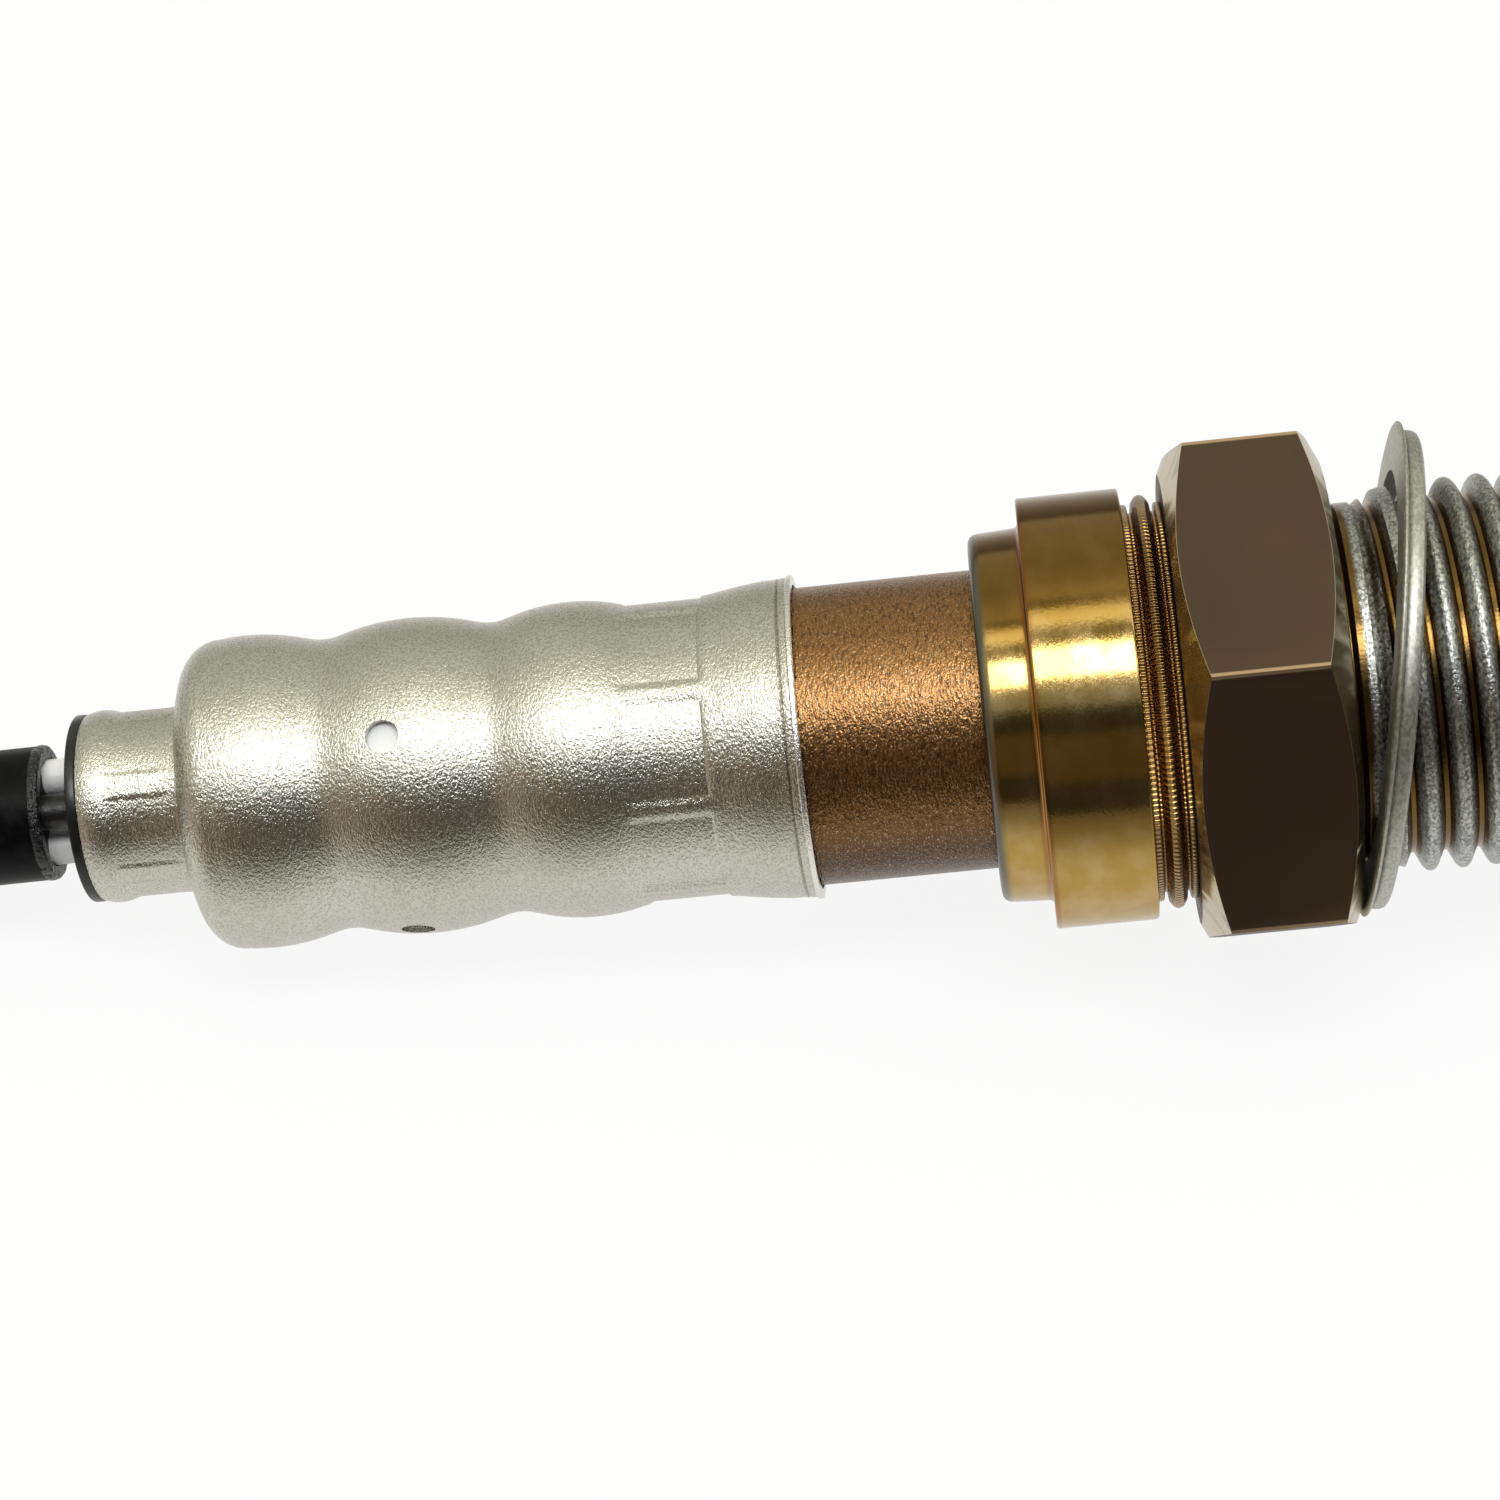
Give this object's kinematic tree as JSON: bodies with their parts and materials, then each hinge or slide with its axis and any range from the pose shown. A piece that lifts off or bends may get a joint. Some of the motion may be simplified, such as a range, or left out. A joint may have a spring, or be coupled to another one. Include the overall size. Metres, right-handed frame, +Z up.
{
  "type": "oxygen sensor",
  "caption": "Threaded exhaust oxygen sensor with a hexagon body, crimped sleeve, loose sealing ring and a sleeved lead tied in a hank that ends in a plug.",
  "frame": {"origin": "on the surface it lies on, under the middle of the sensor's own length and width, without its lead and plug", "axes": "+X along the sensor from its cable end towards its tip, which is raised by under five degrees; +Z up from the surface; the lead lies behind it towards -X"},
  "size_m": [0.2456, 0.0495, 0.0233],
  "materials": {
    "body_steel": "turned steel, straw and brown plated, worn",
    "ring_steel": "folded steel, grey",
    "tube_steel": "deep-drawn stainless steel",
    "guide_ceramic": "matte",
    "talc": "pressed powder",
    "plain_steel": "plain",
    "brown_steel": "heat-tinted bronze brown",
    "shell_steel": "satin nickel with a fine grain",
    "membrane": "white porous sheet",
    "contact_metal": "plated spring metal",
    "grommet_rubber": "satin black",
    "white_insulation": "white",
    "black_insulation": "black",
    "grey_insulation": "grey",
    "cable_rubber": "satin black sleeve",
    "tie_nylon": "black nylon",
    "plug_plastic": "dark grey moulding",
    "seal_rubber": "orange silicone",
    "lock_plastic": "pale moulding",
    "terminal_brass": "tinned brass"
  },
  "bodies": {
    "root": {"hex_body": "body_steel", "sealing_ring": "ring_steel", "outer_protection_tube": "tube_steel", "inner_protection_tube": "tube_steel", "sensing_element": "guide_ceramic", "front_ceramic_guide": "guide_ceramic", "rear_ceramic_guide": "guide_ceramic", "talc_packing": "talc", "crimp_washer": "plain_steel", "inner_sleeve": "brown_steel", "outer_sleeve": "shell_steel", "vent_membrane": "membrane", "contact_holder": "guide_ceramic", "holder_spring": "plain_steel", "terminal_insulator": "guide_ceramic", "heater_contact_1": "contact_metal", "heater_contact_2": "contact_metal", "signal_contact": "contact_metal", "ground_contact": "contact_metal", "grommet": "grommet_rubber", "white_wire_1": "white_insulation", "white_wire_2": "white_insulation", "black_wire": "black_insulation", "grey_wire": "grey_insulation", "cable_sleeve": "cable_rubber", "cable_hank": "cable_rubber", "cable_tie": "tie_nylon", "connector_housing": "plug_plastic", "connector_cap": "plug_plastic", "wire_seal": "seal_rubber", "face_seal": "seal_rubber", "terminal_lock": "lock_plastic", "connector_terminal_1": "terminal_brass", "connector_terminal_2": "terminal_brass", "connector_terminal_3": "terminal_brass", "connector_terminal_4": "terminal_brass"}
  },
  "joints": []
}
